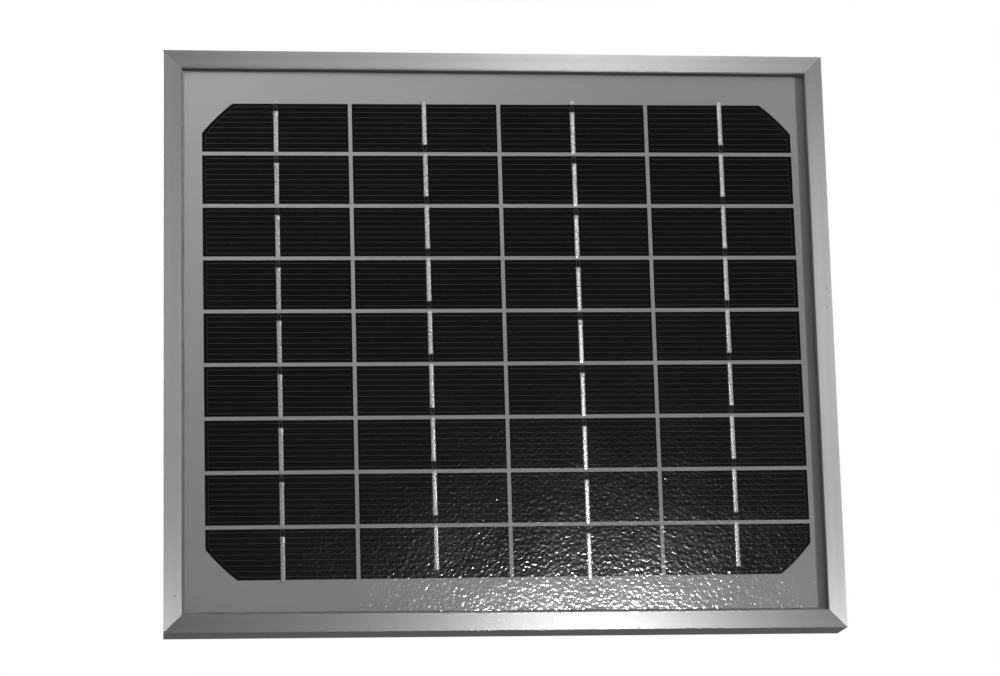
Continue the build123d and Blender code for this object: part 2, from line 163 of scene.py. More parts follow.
def wavy(seed, one, two, size):
    """Smooth noise from -1 to 1 over two coordinates, with a given wavelength and a pattern for each seed."""
    return noise.noise(Vector((one / size, two / size, SEED_STEP * seed)))


# Materials --------------------------------------------------------------------------------------


class Look:
    """A procedural material while it is being built."""

    def __init__(self, name):
        self.material = bpy.data.materials.new(name)
        self.material.use_nodes = True
        self.tree = self.material.node_tree
        self.tree.nodes.clear()
        self.output = self.tree.nodes.new("ShaderNodeOutputMaterial")
        self.coordinates = self.tree.nodes.new("ShaderNodeTexCoord").outputs["Object"]

    def add(self, kind, inputs=None, **settings):
        """Adds a node, with values or links for its inputs."""
        node = self.tree.nodes.new("ShaderNode" + kind)
        for key, value in settings.items():
            setattr(node, key, value)
        for key, value in (inputs or {}).items():
            if isinstance(value, bpy.types.NodeSocket):
                self.tree.links.new(value, node.inputs[key])
            else:
                node.inputs[key].default_value = value
        return node

    def stretched(self, scale):
        """The object's coordinates, scaled along each axis."""
        return self.add("Mapping", {"Vector": self.coordinates, "Scale": scale}).outputs["Vector"]

    def noise(self, scale, detail=2.0, roughness=0.5, distortion=0.0):
        """Noise with so many waves in a metre, along all axes or along each."""
        vector = self.coordinates
        if isinstance(scale, tuple):
            vector = self.stretched(scale)
            scale = 1.0
        inputs = {"Vector": vector, "Scale": scale, "Detail": detail, "Roughness": roughness}
        inputs["Distortion"] = distortion
        return self.add("TexNoise", inputs).outputs["Fac"]

    def ramp(self, value, low, high, to_low=0.0, to_high=1.0):
        """Maps a value from one range to another, and stops at its ends."""
        inputs = {"Value": value, "From Min": low, "From Max": high, "To Min": to_low, "To Max": to_high}
        return self.add("MapRange", inputs).outputs["Result"]

    def maths(self, operation, one, two=0.0):
        """A sum, product or other operation on two values."""
        node = self.add("Math", operation=operation)
        for socket, value in zip(node.inputs, (one, two)):
            if isinstance(value, bpy.types.NodeSocket):
                self.tree.links.new(value, socket)
            else:
                socket.default_value = value
        return node.outputs[0]

    def blend(self, share, one, two):
        """A colour between two colours."""
        node = self.add("Mix", {"Factor": share}, data_type="RGBA")
        for socket, value in ((node.inputs[6], one), (node.inputs[7], two)):
            if isinstance(value, bpy.types.NodeSocket):
                self.tree.links.new(value, socket)
            else:
                socket.default_value = (*value, 1.0)
        return node.outputs[2]

    def bump(self, height, depth, strength=1.0, normal=None):
        """A relief that is depth metres high where the height is 1. It may lie on another one."""
        inputs = {"Height": height, "Distance": depth, "Strength": strength}
        if normal:
            inputs["Normal"] = normal
        return self.add("Bump", inputs).outputs["Normal"]

    def across(self, direction):
        """The tangent of the surface that is at a right angle to a direction."""
        normal = self.add("NewGeometry").outputs["Normal"]
        return self.add("VectorMath", {0: normal, 1: direction}, operation="CROSS_PRODUCT").outputs["Vector"]

    def finish(self, shader):
        """Connects the shader, and returns the material."""
        self.tree.links.new(shader, self.output.inputs["Surface"])
        return self.material

    def principled(self, **inputs):
        """Ends the material in a Principled shader. Names use _ for spaces."""
        named = {}
        for key, value in inputs.items():
            key = {"IOR_Level": "Specular IOR Level"}.get(key, key.replace("_", " "))
            named[key] = (*value, 1.0) if isinstance(value, tuple) and len(value) == 3 else value
        return self.finish(self.add("BsdfPrincipled", named).outputs["BSDF"])


def anodised_aluminium(name, scale_along):
    """Satin, clear-anodised extrusion, streaked along its length, which scale_along makes the coarse axis."""
    look = Look(name)
    bands = look.noise(scale_along(330.0, 0.8), detail=1.0)
    lines = look.noise(scale_along(1500.0, 3.0), detail=2.0)
    clouds = look.noise(12.0, detail=3.0)
    specks = look.ramp(look.noise(420.0, detail=1.0), 0.80, 0.83)
    streaks = look.maths("ADD", look.maths("MULTIPLY", bands, 0.6), look.maths("MULTIPLY", lines, 0.4))
    tone = look.blend(look.ramp(streaks, 0.35, 0.65), (0.75, 0.755, 0.755), (0.83, 0.835, 0.835))
    tone = look.blend(look.ramp(clouds, 0.35, 0.7, 0.0, 0.3), tone, (0.74, 0.74, 0.745))
    colour = look.blend(look.maths("MULTIPLY", specks, 0.7), tone, (0.13, 0.125, 0.12))
    wear = look.maths("ADD", look.maths("MULTIPLY", clouds, 0.5), look.maths("MULTIPLY", lines, 0.5))
    rough = look.ramp(wear, 0.3, 0.7, 0.32, 0.36)
    normal = look.bump(streaks, 0.01 * MM)
    # Hair-fine die lines spread the glare across the rail, and not along it.
    return look.principled(Base_Color=colour, Metallic=1.0, Roughness=rough, Normal=normal,
                           Anisotropic=0.9, Tangent=look.across(scale_along(0.0, 1.0)))


def plain_metal(name, dark, light, roughness, grain):
    """Tinned, plated or mill-finish metal with a mottled surface."""
    look = Look(name)
    mottle = look.noise(grain, detail=4.0, roughness=0.6)
    scuffs = look.noise((grain * 3, grain * 0.4, grain * 3), detail=2.0)
    colour = look.blend(look.ramp(mottle, 0.35, 0.65), dark, light)
    rough = look.ramp(scuffs, 0.3, 0.7, roughness * 0.8, roughness * 1.25)
    normal = look.bump(mottle, 0.03 * MM, 0.5)
    return look.principled(Base_Color=colour, Metallic=0.9, Roughness=rough, Normal=normal)


def moulded_plastic(name, colour, roughness, grain=2600.0):
    """Spark-eroded plastic: a fine even grain, faint flow marks and a little dust."""
    look = Look(name)
    texture = look.noise(grain, detail=2.0, roughness=0.7)
    flow = look.noise((22.0, 40.0, 9.0), detail=3.0, distortion=0.6)
    dust = look.ramp(look.noise(380.0, detail=4.0), 0.56, 0.78, 0.0, 0.16)
    lighter = tuple(min(1.0, 1.35 * c + 0.006) for c in colour)
    tone = look.blend(look.ramp(flow, 0.3, 0.7), colour, lighter)
    tone = look.blend(dust, tone, (0.34, 0.33, 0.31))
    rough = look.ramp(flow, 0.3, 0.7, roughness * 0.88, roughness * 1.15)
    return look.principled(Base_Color=tone, Roughness=rough, Normal=look.bump(texture, 0.03 * MM, 0.7))


def soft_rubber(name, colour, grain=900.0):
    """Silicone or rubber: matte, slightly uneven, with a little dust."""
    look = Look(name)
    skin = look.noise(grain, detail=3.0)
    patches = look.noise(60.0, detail=3.0)
    lighter = tuple(1.3 * c for c in colour)
    tone = look.blend(look.ramp(patches, 0.3, 0.7), colour, lighter)
    rough = look.ramp(skin, 0.3, 0.7, 0.55, 0.75)
    return look.principled(Base_Color=tone, Roughness=rough, Normal=look.bump(skin, 0.05 * MM, 0.5))


def polymer_sheet(name, colour, shade, roughness=0.55):
    """A laminated polymer film: satin, very faintly cloudy, with a fine embossed grain."""
    look = Look(name)
    clouds = look.noise(9.0, detail=4.0, roughness=0.55)
    emboss = look.noise(700.0, detail=2.0)
    specks = look.ramp(look.noise(520.0, detail=2.0), 0.73, 0.76, 0.0, 0.35)
    tone = look.blend(look.ramp(clouds, 0.3, 0.7), colour, shade)
    tone = look.blend(specks, tone, tuple(0.55 * c for c in colour))
    rough = look.ramp(emboss, 0.3, 0.7, roughness * 0.9, roughness * 1.15)
    normal = look.bump(emboss, 0.02 * MM, 0.5)
    return look.principled(Base_Color=tone, Roughness=rough, IOR_Level=0.3, Normal=normal)


def silicon(name):
    """A textured, nearly black antireflective cell. Its tone drifts a little across the array."""
    look = Look(name)
    drift = look.noise(16.0, detail=2.0)
    etch = look.noise(4200.0, detail=2.0)
    saw_lines = look.noise((3.0, 3.0, 420.0), detail=1.0)
    tone = look.blend(look.ramp(drift, 0.35, 0.65), (0.0007, 0.0008, 0.0009), (0.0012, 0.0014, 0.0018))
    tone = look.blend(look.ramp(saw_lines, 0.4, 0.7, 0.0, 0.3), tone, (0.0018, 0.0020, 0.0024))
    rough = look.ramp(etch, 0.3, 0.7, 0.42, 0.55)
    normal = look.bump(etch, 0.01 * MM, 0.4)
    return look.principled(Base_Color=tone, Roughness=rough, IOR_Level=0.02, Normal=normal)


def silver_print(name):
    """Fired silver paste: porous, dull and a little uneven in tone."""
    look = Look(name)
    pores = look.noise(3000.0, detail=3.0)
    drift = look.noise(40.0, detail=2.0)
    tone = look.blend(look.ramp(pores, 0.3, 0.7), (0.055, 0.055, 0.055), (0.11, 0.11, 0.108))
    tone = look.blend(look.ramp(drift, 0.4, 0.65, 0.0, 0.5), tone, (0.05, 0.05, 0.05))
    rough = look.ramp(pores, 0.3, 0.7, 0.5, 0.7)
    normal = look.bump(pores, 0.01 * MM, 0.5)
    return look.principled(Base_Color=tone, Metallic=0.3, Roughness=rough, Normal=normal)


def soldered_ribbon(name):
    """Tinned copper ribbon whose solder has run and set unevenly."""
    look = Look(name)
    runs = look.noise((300.0, 300.0, 1100.0), detail=3.0, distortion=0.6)
    pits = look.noise(2400.0, detail=2.0)
    tone = look.blend(look.ramp(runs, 0.3, 0.7), (0.80, 0.795, 0.785), (0.90, 0.90, 0.89))
    tone = look.blend(look.ramp(pits, 0.60, 0.72, 0.0, 0.12), tone, (0.30, 0.295, 0.29))
    rough = look.ramp(runs, 0.3, 0.75, 0.26, 0.32)
    normal = look.bump(pits, 0.002 * MM, 0.5, look.bump(runs, 0.006 * MM))
    # The solder set in ripples across the ribbon, which spread the glare along it.
    return look.principled(Base_Color=tone, Metallic=0.75, Roughness=rough, Normal=normal,
                           Anisotropic=0.8, Tangent=look.across((1.0, 0.0, 0.0)))


def rolled_glass(name):
    """The patterned outer face of solar glass: clear, with a fine hammered relief that scatters its glare."""
    look = Look(name)
    cells = look.add("TexVoronoi", {"Vector": look.coordinates, "Scale": 540.0}, feature="SMOOTH_F1")
    worms = look.noise(520.0, detail=1.0, distortion=0.5)
    dimples = look.maths("MULTIPLY", cells.outputs["Distance"], 0.45)
    pattern = look.maths("ADD", dimples, look.maths("MULTIPLY", worms, 0.55))
    normal = look.bump(pattern, 0.09 * MM)
    film = look.ramp(look.noise(30.0, detail=4.0), 0.35, 0.75, 0.07, 0.09)
    gloss = look.add("BsdfGlossy", {"Color": (1, 1, 1, 1), "Roughness": film, "Normal": normal})
    clear = look.add("BsdfTransparent", {"Color": (0.975, 0.985, 0.98, 1)})
    # Schlick's rule, which is the same from both sides, so that light leaves the glass as it came in.
    facing = look.add("LayerWeight", {"Blend": 0.5, "Normal": normal}).outputs["Facing"]
    share = look.ramp(look.maths("POWER", facing, 5.0), 0.0, 1.0, 0.07, 1.0)
    mixed = look.add("MixShader", {"Fac": share, 1: clear.outputs[0], 2: gloss.outputs[0]})
    return look.finish(mixed.outputs[0])


def bonded_glass(name):
    """The inner face of the glass, which has no gloss of its own because it is bonded to the encapsulant."""
    look = Look(name)
    haze = look.noise(120.0, detail=3.0)
    tint = look.blend(look.ramp(haze, 0.3, 0.7), (0.985, 0.99, 0.985), (0.995, 1.0, 0.995))
    clear = look.add("BsdfTransparent", {"Color": tint})
    return look.finish(clear.outputs[0])


def along_x(fine, coarse):
    """One value for each axis: the coarse one along X."""
    return (coarse, fine, fine)


def along_z(fine, coarse):
    """One value for each axis: the coarse one along Z."""
    return (fine, fine, coarse)


rail_across = anodised_aluminium("anodised_across", along_x)
rail_upright = anodised_aluminium("anodised_upright", along_z)
ribbon_metal = soldered_ribbon("soldered_ribbon")
# Dark grey rubber for the edge seal, which on the bead below also paints the shade line beside the lip.
seal_and_painted_shade = soft_rubber("edge_sealant", (0.14, 0.14, 0.142))
box_sealant = soft_rubber("box_sealant", (0.045, 0.045, 0.046))
box_plastic = moulded_plastic("box_plastic", (0.022, 0.022, 0.023), 0.48)
backsheet_film = polymer_sheet("backsheet_film", (0.72, 0.73, 0.735), (0.66, 0.67, 0.68))
cell_material = silicon("silicon")

node_looks = {
    "rail_top": rail_across,
    "rail_bottom": rail_across,
    "rail_left": rail_upright,
    "rail_right": rail_upright,
    "corner_keys": plain_metal("mill_aluminium", (0.45, 0.45, 0.45), (0.6, 0.6, 0.6), 0.4, 300.0),
    "edge_seal": seal_and_painted_shade,
    "rear_encapsulant": polymer_sheet("rear_encapsulant", (0.37, 0.375, 0.378), (0.33, 0.333, 0.335), 0.7),
    "bus_ribbons": plain_metal("bus_copper", (0.45, 0.44, 0.42), (0.7, 0.7, 0.68), 0.3, 500.0),
    "bus_insulation": polymer_sheet("insulating_film", (0.7, 0.7, 0.7), (0.62, 0.62, 0.62)),
    "jbox_adhesive": box_sealant,
    "jbox_base": box_plastic,
    "jbox_lid": box_plastic,
    "lid_gasket": soft_rubber("gasket_foam", (0.09, 0.09, 0.092), 2000.0),
    "cable_seal_left": soft_rubber("seal_rubber", (0.05, 0.05, 0.05)),
    "gland_nut_left": moulded_plastic("nut_plastic", (0.026, 0.026, 0.028), 0.42, 1800.0),
    "terminals": plain_metal("tinned_brass", (0.5, 0.47, 0.38), (0.72, 0.7, 0.62), 0.3, 400.0),
    "terminal_screws": plain_metal("zinc_steel", (0.4, 0.4, 0.41), (0.62, 0.62, 0.62), 0.35, 700.0),
    "bypass_diode": moulded_plastic("diode_epoxy", (0.02, 0.02, 0.02), 0.35, 1500.0),
}
node_looks["cable_seal_right"] = node_looks["cable_seal_left"]
node_looks["gland_nut_right"] = node_looks["gland_nut_left"]
for row in range(ROWS):
    for column in range(COLUMNS):
        node_looks[f"cell_r{row + 1}_c{column + 1}"] = cell_material


def dress(piece, *materials):
    """Puts materials in a piece's slots, in order. The last one also fills any slots left over."""
    while len(piece.material_slots) < len(materials):
        piece.data.materials.append(materials[len(piece.material_slots)])
    for i, slot in enumerate(piece.material_slots):
        slot.material = materials[min(i, len(materials) - 1)]


for node_name, material in node_looks.items():
    dress(nodes[node_name], material)

# Glass ------------------------------------------------------------------------------------------

GLASS_STEP = 1.25 * MM
GLASS_RELIEF = 0.012 * MM
LAMINATE_CORNER = 1.5 * MM
ENCAPSULANT_CLEARANCE = 0.3 * MM
# The glass's bonded side is where its normals have a y above this.
FACES_BACK = 0.9


def on_laminate(x, z):
    """Draws a point in to the laminate's rounded corner."""
    dx = abs(x) - (laminate_x - LAMINATE_CORNER)
    dz = abs(z) - (laminate_z - LAMINATE_CORNER)
    if dx > 0 and dz > 0:
        reach = math.hypot(dx, dz)
        if reach > LAMINATE_CORNER:
            x -= math.copysign(dx - dx * LAMINATE_CORNER / reach, x)
            z -= math.copysign(dz - dz * LAMINATE_CORNER / reach, z)
    return x, z


def sheet_mesh(bm, step, front, rear, relief, relief_side):
    """A closed sheet with the laminate's outline. One side is a fine grid, raised by relief(x, z)."""
    across_count = round(2 * laminate_x / step)
    up_count = round(2 * laminate_z / step)
    level, other = (front, rear) if relief_side == "front" else (rear, front)
    out = -1 if relief_side == "front" else 1
    grid = []
    for i in range(across_count + 1):
        line = []
        for j in range(up_count + 1):
            x = (2 * i / across_count - 1) * laminate_x
            z = (2 * j / up_count - 1) * laminate_z
            x, z = on_laminate(x, z)
            line.append(bm.verts.new((x, level + out * relief(x, z), z)))
        grid.append(line)
    for i in range(across_count):
        for j in range(up_count):
            bm.faces.new((grid[i][j], grid[i + 1][j], grid[i + 1][j + 1], grid[i][j + 1]))
    edge = [grid[i][0] for i in range(across_count)]
    edge += [grid[-1][j] for j in range(up_count)]
    edge += [grid[i][-1] for i in range(across_count, 0, -1)]
    edge += [grid[0][j] for j in range(up_count, 0, -1)]
    far = [bm.verts.new((v.co.x, other, v.co.z)) for v in edge]
    for i in range(len(edge)):
        j = (i + 1) % len(edge)
        bm.faces.new((edge[i], edge[j], far[j], far[i]))
    bm.faces.new(far)


def glass_relief(x, z):
    """The broad part of the rolled pattern. It is only pressed inwards, so the sheet keeps its thickness."""
    broad = wavy(1, x, z, 7 * MM)
    fine = wavy(2, x, z, 3.2 * MM)
    return -GLASS_RELIEF * (2 + broad + fine)


def build_glass(bm):
    """The glass with the clear encapsulant, which can't be told from it, down to just above the cells."""
    sheet_mesh(bm, GLASS_STEP, glass_front, cell_front - ENCAPSULANT_CLEARANCE, glass_relief, "front")


glass = new_piece("solar_glass", build_glass)
dress(glass, rolled_glass("rolled_glass"), bonded_glass("bonded_glass"))
for polygon in glass.data.polygons:
    if polygon.normal.y > FACES_BACK:
        polygon.material_index = 1
        polygon.use_smooth = False
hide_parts("glass", "front_encapsulant")

# Silver print on the cells ----------------------------------------------------------------------

FINGER_PITCH = 2.9 * MM
FINGER_WIDTH = 0.15 * MM
FINGER_HEIGHT = 0.02 * MM
# Blank edges of a cell: on the array's outside, beside another string, and above and below together.
OUTER_MARGIN = 1.9 * MM
INNER_MARGIN = 0.9 * MM
END_MARGINS = 2.0 * MM
CLOSING_STEPS = 10
CLOSING_WIDTH = 0.5 * FINGER_WIDTH
CLOSING_HEIGHT = 1.5 * FINGER_HEIGHT
PAD_WIDTH = 1.9 * MM
PAD_LINE = 0.3 * MM
PAD_LENGTH = 3.4 * MM
PAD_INSET = 0.7 * MM
PAD_SIDE_HEIGHT = 2 * FINGER_HEIGHT
PAD_END_HEIGHT = 2.5 * FINGER_HEIGHT
WAFER_RADIUS = 99.4 * MM
FULL_WAFER_HALF = 78.0 * MM
# How far each string's busbar is to the right of its cells' middles, at the top and at the bottom, in mm.
BUSBAR_DRIFT = ((0.30, 0.95), (-0.20, 0.85), (0.0, 1.10), (0.45, -0.25))


def busbar_u(column, row):
    """The middle of a cell's busbar. The strings were laid by hand, and so they lean a little."""
    top, bottom = BUSBAR_DRIFT[column]
    return column_u[column] + (top + (bottom - top) * row / (ROWS - 1)) * MM


def string_turn(column):
    """Every other string runs the other way: 1 when it starts at the top, and -1 at the bottom."""
    return 1 if column % 2 == 0 else -1


def bar(bm, u_from, v_from, u_to, v_to, width, height):
    """A low closed bar of silver between two places on the array."""
    start = Vector((u_from, v_from))
    end = Vector((u_to, v_to))
    side = (end - start).normalized().orthogonal() * width / 2
    outline = [start + side, end + side, end - side, start - side]
    loft(bm, [[in_array(p.x, p.y, y) for p in outline] for y in (cell_front, cell_front - height)])


def arc_u(v, side_u, side_v, inset):
    """The u at which the corner's arc, drawn in by inset, crosses height v."""
    corner_u = side_u * (column_u[-1] + cell_width / 2 - FULL_WAFER_HALF)
    corner_v = side_v * (array_top - FULL_WAFER_HALF)
    reach = (WAFER_RADIUS - inset) ** 2 - (v - corner_v) ** 2
    return corner_u + side_u * math.sqrt(max(reach, 0.0))


def closing_line(bm, column, side_u, side_v, top_v, bottom_v):
    """The thin line that joins the fingers' ends beside the outer edge and round a cut corner."""
    edge_u = column_u[column] + side_u * (cell_width / 2 - OUTER_MARGIN)
    places = []
    for i in range(CLOSING_STEPS + 1):
        v = top_v + (bottom_v - top_v) * i / CLOSING_STEPS
        u = edge_u
        if side_v:
            limit = arc_u(v, side_u, side_v, OUTER_MARGIN)
            u = min(edge_u, limit) if side_u > 0 else max(edge_u, limit)
        places.append((u, v))
    for (u_from, v_from), (u_to, v_to) in zip(places, places[1:]):
        bar(bm, u_from, v_from, u_to, v_to, CLOSING_WIDTH, CLOSING_HEIGHT)


def print_cell(bm, row, column):
    """The fingers, the closing line on an outer edge and the hollow end of the busbar."""
    middle_u = column_u[column]
    middle_v = row_v[row]
    # The side of the array that the cell is on: -1, 0 or 1 each way.
    side_u = {0: -1, COLUMNS - 1: 1}.get(column, 0)
    side_v = {0: 1, ROWS - 1: -1}.get(row, 0)
    reach_left = cell_width / 2 - (OUTER_MARGIN if side_u < 0 else INNER_MARGIN)
    reach_right = cell_width / 2 - (OUTER_MARGIN if side_u > 0 else INNER_MARGIN)
    count = int((cell_height - END_MARGINS) / FINGER_PITCH) + 1
    first_v = middle_v + (count - 1) * FINGER_PITCH / 2
    for i in range(count):
        v = first_v - i * FINGER_PITCH
        u_from, u_to = middle_u - reach_left, middle_u + reach_right
        if side_u and side_v:
            limit = arc_u(v, side_u, side_v, OUTER_MARGIN)
            if side_u < 0:
                u_from = max(u_from, limit)
            else:
                u_to = min(u_to, limit)
        bar(bm, u_from, v, u_to, v, FINGER_WIDTH, FINGER_HEIGHT)
    if side_u:
        closing_line(bm, column, side_u, side_v, first_v, first_v - (count - 1) * FINGER_PITCH)
    # The busbar is printed as an outline. The ribbon covers it but for the end that it doesn't reach.
    middle_u = busbar_u(column, row)
    turn = string_turn(column)
    end_v = middle_v + (cell_height / 2 - PAD_INSET) * turn
    stop_v = end_v - PAD_LENGTH * turn
    half = (PAD_WIDTH - PAD_LINE) / 2
    left, right = middle_u - half, middle_u + half
    bar(bm, left, end_v, left, stop_v, PAD_LINE, PAD_SIDE_HEIGHT)
    bar(bm, right, end_v, right, stop_v, PAD_LINE, PAD_SIDE_HEIGHT)
    bar(bm, left, end_v, right, end_v, PAD_LINE, PAD_END_HEIGHT)
    bar(bm, left, stop_v, right, stop_v, PAD_LINE, PAD_END_HEIGHT)


def print_string(column):
    """The function that fills a mesh with the print on one string of cells."""

    def build(bm):
        for row in range(ROWS):
            print_cell(bm, row, column)

    return build


print_material = silver_print("silver_print")
for column in range(COLUMNS):
    printed = new_piece(f"silver_print_c{column + 1}", print_string(column), smooth=False)
    dress(printed, print_material)

# Ribbons ----------------------------------------------------------------------------------------

TAB_WIDTH = 2.4 * MM
TAB_THICKNESS = 0.15 * MM
TAB_FREE_END = 4.2 * MM
TAB_STEP = 0.3 * MM
TAB_STATION = 0.45 * MM
LONG_STUB = 2.5 * MM
SHORT_STUB = 1.2 * MM
# The solder's lumps, its uneven width, and the blob at a ribbon's end.
LUMP_RISE = 0.012 * MM
LUMP_SWELL = 0.03 * MM
BLOB_LENGTH = 2.6 * MM
BLOB_RISE = 0.16 * MM
BLOB_SWELL = 0.16 * MM
# The ribbon's face is a low dome of six strips, with its two edges rounded off.
FACE_STRIPS = 6
DOME_SHARE = 0.75
EDGE_DROP = 0.03 * MM
front_line = cell_front - TAB_THICKNESS / 2
rear_line = cell_rear + TAB_THICKNESS / 2
bus_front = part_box("bus_ribbons")[0].y


def ribbon_sections(u_middle, path, turn, seed, blob_at=None):
    """Cross-sections along a ribbon. path is (v, y) of its middle line in a string that starts at the top."""
    sections = []
    for (v_from, y_from), (v_to, y_to) in zip(path, path[1:]):
        length = math.hypot(v_to - v_from, y_to - y_from)
        on_front = y_from == front_line and y_to == front_line
        count = max(1, round(length / TAB_STATION)) if on_front else 1
        for i in range(count):
            share = i / count
            sections.append((v_from + (v_to - v_from) * share, y_from + (y_to - y_from) * share, on_front))
    sections.append((*path[-1], False))
    rings = []
    for v, y, on_front in sections:
        rise = swell = 0.0
        if on_front:
            lump = wavy(seed, u_middle, v, 1.6 * MM) + 0.6 * wavy(seed + 5, u_middle, v, 4.5 * MM)
            rise = LUMP_RISE * (1 + lump)
            swell = LUMP_SWELL * wavy(seed + 9, u_middle, v, 3.0 * MM)
            if blob_at is not None:
                near = abs(v - blob_at) / BLOB_LENGTH
                if near < 1:
                    bulge = (1 - near * near) ** 2
                    rise += BLOB_RISE * bulge
                    swell += BLOB_SWELL * bulge
        half = TAB_WIDTH / 2 + swell
        back = y + TAB_THICKNESS / 2
        face = y - TAB_THICKNESS / 2
        ring = [in_array(u_middle - half, turn * v, back), in_array(u_middle + half, turn * v, back)]
        for step in range(FACE_STRIPS, -1, -1):
            side = step / (FACE_STRIPS / 2) - 1
            u = u_middle + side * half
            dome = (1 - side * side) * DOME_SHARE + (1 - DOME_SHARE)
            grain = 1 + 0.15 * wavy(seed + 3, u, v, 0.9 * MM) if on_front else 1
            drop = EDGE_DROP if abs(side) == 1 else 0.0
            ring.append(in_array(u, turn * v, face - rise * dome * grain + drop))
        rings.append(ring)
    return rings


def fold_sections(u_middle, path, turn):
    """The short upright part of a fold, with the ribbon's thickness along the array."""
    rings = []
    for v, y in path:
        rings.append([
            in_array(u_middle + side * TAB_WIDTH / 2, turn * (v + lean * TAB_THICKNESS / 2), y)
            for side, lean in ((-1, -1), (1, -1), (1, 1), (-1, 1))
        ])
    return rings


def build_ribbons(bm):
    """Each ribbon lies on a cell and goes under the next one. Both ends of a string fold back to a bus."""
    for column in range(COLUMNS):
        turn = string_turn(column)
        first, last = (0, ROWS - 1) if turn > 0 else (ROWS - 1, 0)
        half = cell_height / 2
        for link in range(ROWS - 1):
            u = busbar_u(column, first + turn * link)
            start = row_v[link] + half - TAB_FREE_END
            edge = row_v[link] - half - TAB_STEP
            under = row_v[link + 1] + half + TAB_STEP
            finish = row_v[link + 1] - half + TAB_FREE_END
            path = [(start, front_line), (edge, front_line), (under, rear_line), (finish, rear_line)]
            loft(bm, ribbon_sections(u, path, turn, 10 * column + link, start - BLOB_LENGTH / 2))
        # The string's last ribbon runs on past the last cell and folds behind it to the bus.
        stub_low = LONG_STUB if column % 2 else SHORT_STUB
        start = row_v[-1] + half - TAB_FREE_END
        u = busbar_u(column, last)
        edge = row_v[-1] - half - stub_low
        path = [(start, front_line), (edge + TAB_THICKNESS / 2, front_line)]
        loft(bm, ribbon_sections(u, path, turn, 10 * column + 9, start - BLOB_LENGTH / 2))
        fold_path = [(edge + TAB_THICKNESS, front_line), (edge + TAB_THICKNESS, bus_front)]
        loft(bm, fold_sections(u, fold_path, turn))
        # The first one comes out from behind the first cell and folds in the same way.
        stub_high = SHORT_STUB if column % 2 else LONG_STUB
        start = row_v[0] - half + TAB_FREE_END
        u = busbar_u(column, first)
        clear = row_v[0] + half + TAB_STEP
        edge = row_v[0] + half + stub_high
        path = [(start, rear_line), (clear, rear_line), (clear + TAB_STEP, front_line)]
        path.append((edge - TAB_THICKNESS / 2, front_line))
        loft(bm, ribbon_sections(u, path, turn, 10 * column + 8))
        fold_path = [(edge - TAB_THICKNESS, front_line), (edge - TAB_THICKNESS, bus_front)]
        loft(bm, fold_sections(u, fold_path, turn))


ribbons = new_piece("soldered_ribbons", build_ribbons)
dress(ribbons, ribbon_metal)
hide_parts("tab_ribbons")

# Painted shade line beside the lip, drawn as a dark bead of squeezed-out sealant ---------------------

BEAD_STATION = 1.5 * MM
# Widths of the painted shade line on each side of the window, widest at the left and the bottom.
SHADE_LINE_WIDTHS = {"left": 1.15 * MM, "top": 0.35 * MM, "right": 0.6 * MM, "bottom": 1.3 * MM}
BEAD_CLIMB = 0.35 * MM
BEAD_TUCK = 0.8 * MM
TUCKED_HEIGHT = 0.38 * MM
LIP_HEIGHT = 0.4 * MM
TOE_HEIGHT = 0.14 * MM


def bead_width(x, z):
    """The bead's width beside the place on the lip's inner edge, which is the width of the painted shade line
    there.
    """
    if abs(x) * window_z > abs(z) * window_x:
        side = "left" if x < 0 else "right"
    else:
        side = "top" if z > 0 else "bottom"
    return SHADE_LINE_WIDTHS[side] * (1 + 0.25 * wavy(3, x, z, 22 * MM) + 0.12 * wavy(4, x, z, 3 * MM))


def window_path():
    """Places round the lip's inner edge, each with the direction towards the glass's middle."""
    places = []
    corners = [(-1, -1), (1, -1), (1, 1), (-1, 1)]
    for (sx, sz), (tx, tz) in zip(corners, corners[1:] + corners[:1]):
        length = 2 * (window_x if sx != tx else window_z)
        count = round(length / BEAD_STATION)
        for i in range(count):
            share = i / count
            x = (sx + (tx - sx) * share) * window_x
            z = (sz + (tz - sz) * share) * window_z
            inward = Vector((-sx, -sz)) if i == 0 else Vector((-(sx + tx) / 2, -(sz + tz) / 2))
            places.append((x, z, inward))
    return places


def build_bead(bm):
    """The dark bead fills the gap under the lip and climbs a little up its edge. Its grey paints the lip's
    shade line on the glass.
    """
    rings = []
    for x, z, inward in window_path():
        width = bead_width(x, z)
        top = LIP_HEIGHT + BEAD_CLIMB * (1 + 0.3 * wavy(6, x, z, 9 * MM))
        profile = [(-BEAD_TUCK, 0.0), (-BEAD_TUCK, TUCKED_HEIGHT), (0.0, top)]
        profile += [(0.35 * width, 0.45 * top), (0.75 * width, TOE_HEIGHT), (width, 0.0)]
        rings.append([
            (x + inward.x * reach, glass_front - height, z + inward.y * reach) for reach, height in profile
        ])
    loft(bm, rings, closed=True)


# A dark bead shaped as squeezed-out sealant, which paints the lip's shade line on the edge of the glass.
bead = new_piece("shade_line_bead", build_bead)
dress(bead, seal_and_painted_shade)

# Backsheet --------------------------------------------------------------------------------------

BACKSHEET_STEP = 1.6 * MM
# How far in from the ends of the strings the buses lie. The far one leads an outer string back to the box.
BUS_INSET = 6 * MM
FAR_BUS_INSET = 14 * MM
# The relief over the cells, the ribbons and the buses, its ripple, and how far all of it is let in.
OVER_CELLS = 0.05 * MM
OVER_RIBBONS = 0.07 * MM
OVER_BUSES = 0.08 * MM
RIPPLE = 0.012 * MM
LET_IN = 0.1 * MM
backsheet_front = front_of("backsheet")
backsheet_rear = rear_of("backsheet")


def smooth_step(value, low, high):
    """Goes smoothly from 0 to 1 between two values."""
    share = min(1.0, max(0.0, (value - low) / (high - low)))
    return share * share * (3 - 2 * share)


